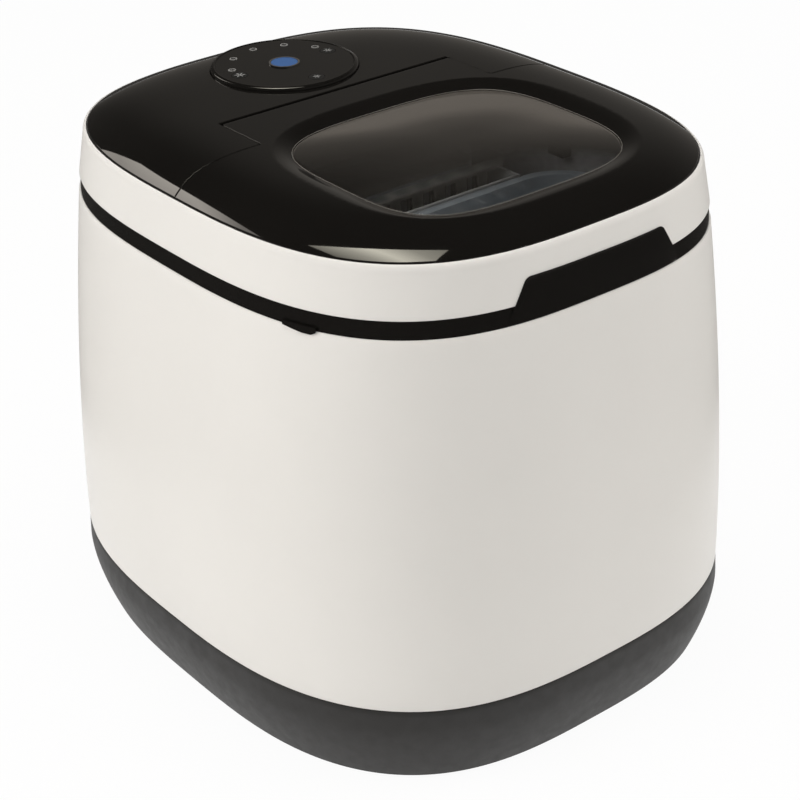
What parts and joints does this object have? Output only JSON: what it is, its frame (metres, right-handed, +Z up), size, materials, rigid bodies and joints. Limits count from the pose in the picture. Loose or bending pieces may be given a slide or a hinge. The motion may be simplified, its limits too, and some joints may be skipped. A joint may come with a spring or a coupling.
{
  "type": "ice maker",
  "caption": "Countertop ice maker with a rounded white cabinet, dark skirt, gloss black crowned deck, smoked lid window and a round key panel.",
  "frame": {"origin": "centre of the footprint, at the underside of the feet", "axes": "+Z up, -Y towards the front plate and the lid's free edge, +Y towards the control panel and rear grille, +X towards the drain plug"},
  "size_m": [0.3612, 0.416, 0.354],
  "materials": {
    "shell_white": "satin",
    "skirt_charcoal": "matte",
    "piano_black": "polished",
    "black_plastic": "matte",
    "dark_grey_plastic": "matte",
    "smoked_clear": "polished",
    "liner_grey": "satin",
    "clear_plastic": "polished",
    "natural_plastic": "satin",
    "float_red": "satin",
    "foam_cream": "matte",
    "rubber_black": "matte",
    "silicone_white": "satin",
    "screw_steel": "satin",
    "chrome_trim": "polished",
    "badge_blue": "polished",
    "lens_white": "polished",
    "nickel_plate": "polished",
    "zinc_sheet": "satin",
    "compressor_black": "satin",
    "aluminium_fins": "satin",
    "copper_pipe": "satin",
    "valve_blue": "satin",
    "board_green": "satin"
  },
  "bodies": {
    "cabinet": {"base_pan": "skirt_charcoal", "foot_pads": "rubber_black", "main_shell": "shell_white", "rear_grille": "dark_grey_plastic", "power_inlet": "black_plastic", "case_screws": "screw_steel", "trim_band": "piano_black", "upper_ring": "shell_white", "front_plate": "piano_black", "trim_tab": "piano_black", "rear_deck": "piano_black", "top_frame": "dark_grey_plastic", "frame_screws": "screw_steel", "hinge_pins": "screw_steel", "control_bezel": "piano_black", "control_fascia": "piano_black", "badge_ring": "chrome_trim", "badge_plate": "badge_blue", "led_rims": "chrome_trim", "led_lenses": "lens_white", "control_board": "board_green", "tank_liner": "liner_grey", "foam_jacket": "foam_cream", "evaporator": "nickel_plate", "evaporator_bracket": "zinc_sheet", "tray_motor": "dark_grey_plastic", "ice_sensors": "black_plastic", "float_guide": "natural_plastic", "inlet_strainer": "natural_plastic", "water_pump": "black_plastic", "fill_hose": "silicone_white", "drain_pipe": "black_plastic", "compressor": "compressor_black", "compressor_grommets": "rubber_black", "compressor_studs": "screw_steel", "condenser": "aluminium_fins", "fan_shroud": "black_plastic", "fan_motor": "black_plastic", "filter_drier": "copper_pipe", "hot_gas_valve": "valve_blue", "discharge_line": "copper_pipe", "suction_line": "copper_pipe", "liquid_line": "copper_pipe", "power_board": "board_green"},
    "lid": {"lid_frame": "piano_black", "lid_window": "smoked_clear", "lid_liner": "liner_grey", "lid_screws": "screw_steel", "lid_bumpers": "rubber_black"},
    "left_key": {"key_left": "black_plastic"},
    "right_key": {"key_right": "black_plastic"},
    "front_key": {"key_front": "black_plastic"},
    "tray": {"water_tray": "natural_plastic"},
    "basket": {"ice_basket": "clear_plastic"},
    "scoop": {"ice_scoop": "clear_plastic"},
    "float": {"float_ring": "float_red"},
    "fan": {"fan_shaft": "screw_steel", "fan_blade": "black_plastic"},
    "plug": {"drain_plug": "rubber_black"}
  },
  "joints": [
    {"name": "lid_hinge", "type": "hinge", "parent": "cabinet", "child": "lid", "pos_m": [0, 0.0445, 0.3475], "axis": [-1, 0, 0], "range_deg": [0, 85]},
    {"name": "left_key_press", "type": "slide", "parent": "cabinet", "child": "left_key", "axis": [0, 0, -1], "range_m": [0, 0.0008], "stiffness_N_per_m": 300},
    {"name": "right_key_press", "type": "slide", "parent": "cabinet", "child": "right_key", "axis": [0, 0, -1], "range_m": [0, 0.0008], "stiffness_N_per_m": 300},
    {"name": "front_key_press", "type": "slide", "parent": "cabinet", "child": "front_key", "axis": [0, 0, -1], "range_m": [0, 0.0008], "stiffness_N_per_m": 300},
    {"name": "tray_tilt", "type": "hinge", "parent": "cabinet", "child": "tray", "pos_m": [0, 0.014, 0.292], "axis": [1, 0, 0], "range_deg": [0, 80]},
    {"name": "basket_lift", "type": "slide", "parent": "cabinet", "child": "basket", "axis": [0, 0, 1], "range_m": [0, 0.028]},
    {"name": "scoop_lift", "type": "slide", "parent": "basket", "child": "scoop", "axis": [0, 0, 1], "range_m": [0, 0.06]},
    {"name": "float_rise", "type": "slide", "parent": "cabinet", "child": "float", "axis": [0, 0, 1], "range_m": [0, 0.028]},
    {"name": "fan_spin", "type": "hinge", "parent": "cabinet", "child": "fan", "pos_m": [0.055, 0.127, 0.115], "axis": [0, 1, 0], "continuous": true},
    {"name": "plug_turn", "type": "hinge", "parent": "cabinet", "child": "plug", "pos_m": [0.176, -0.04, 0.096], "axis": [1, 0, 0], "range_deg": [0, 90]}
  ]
}
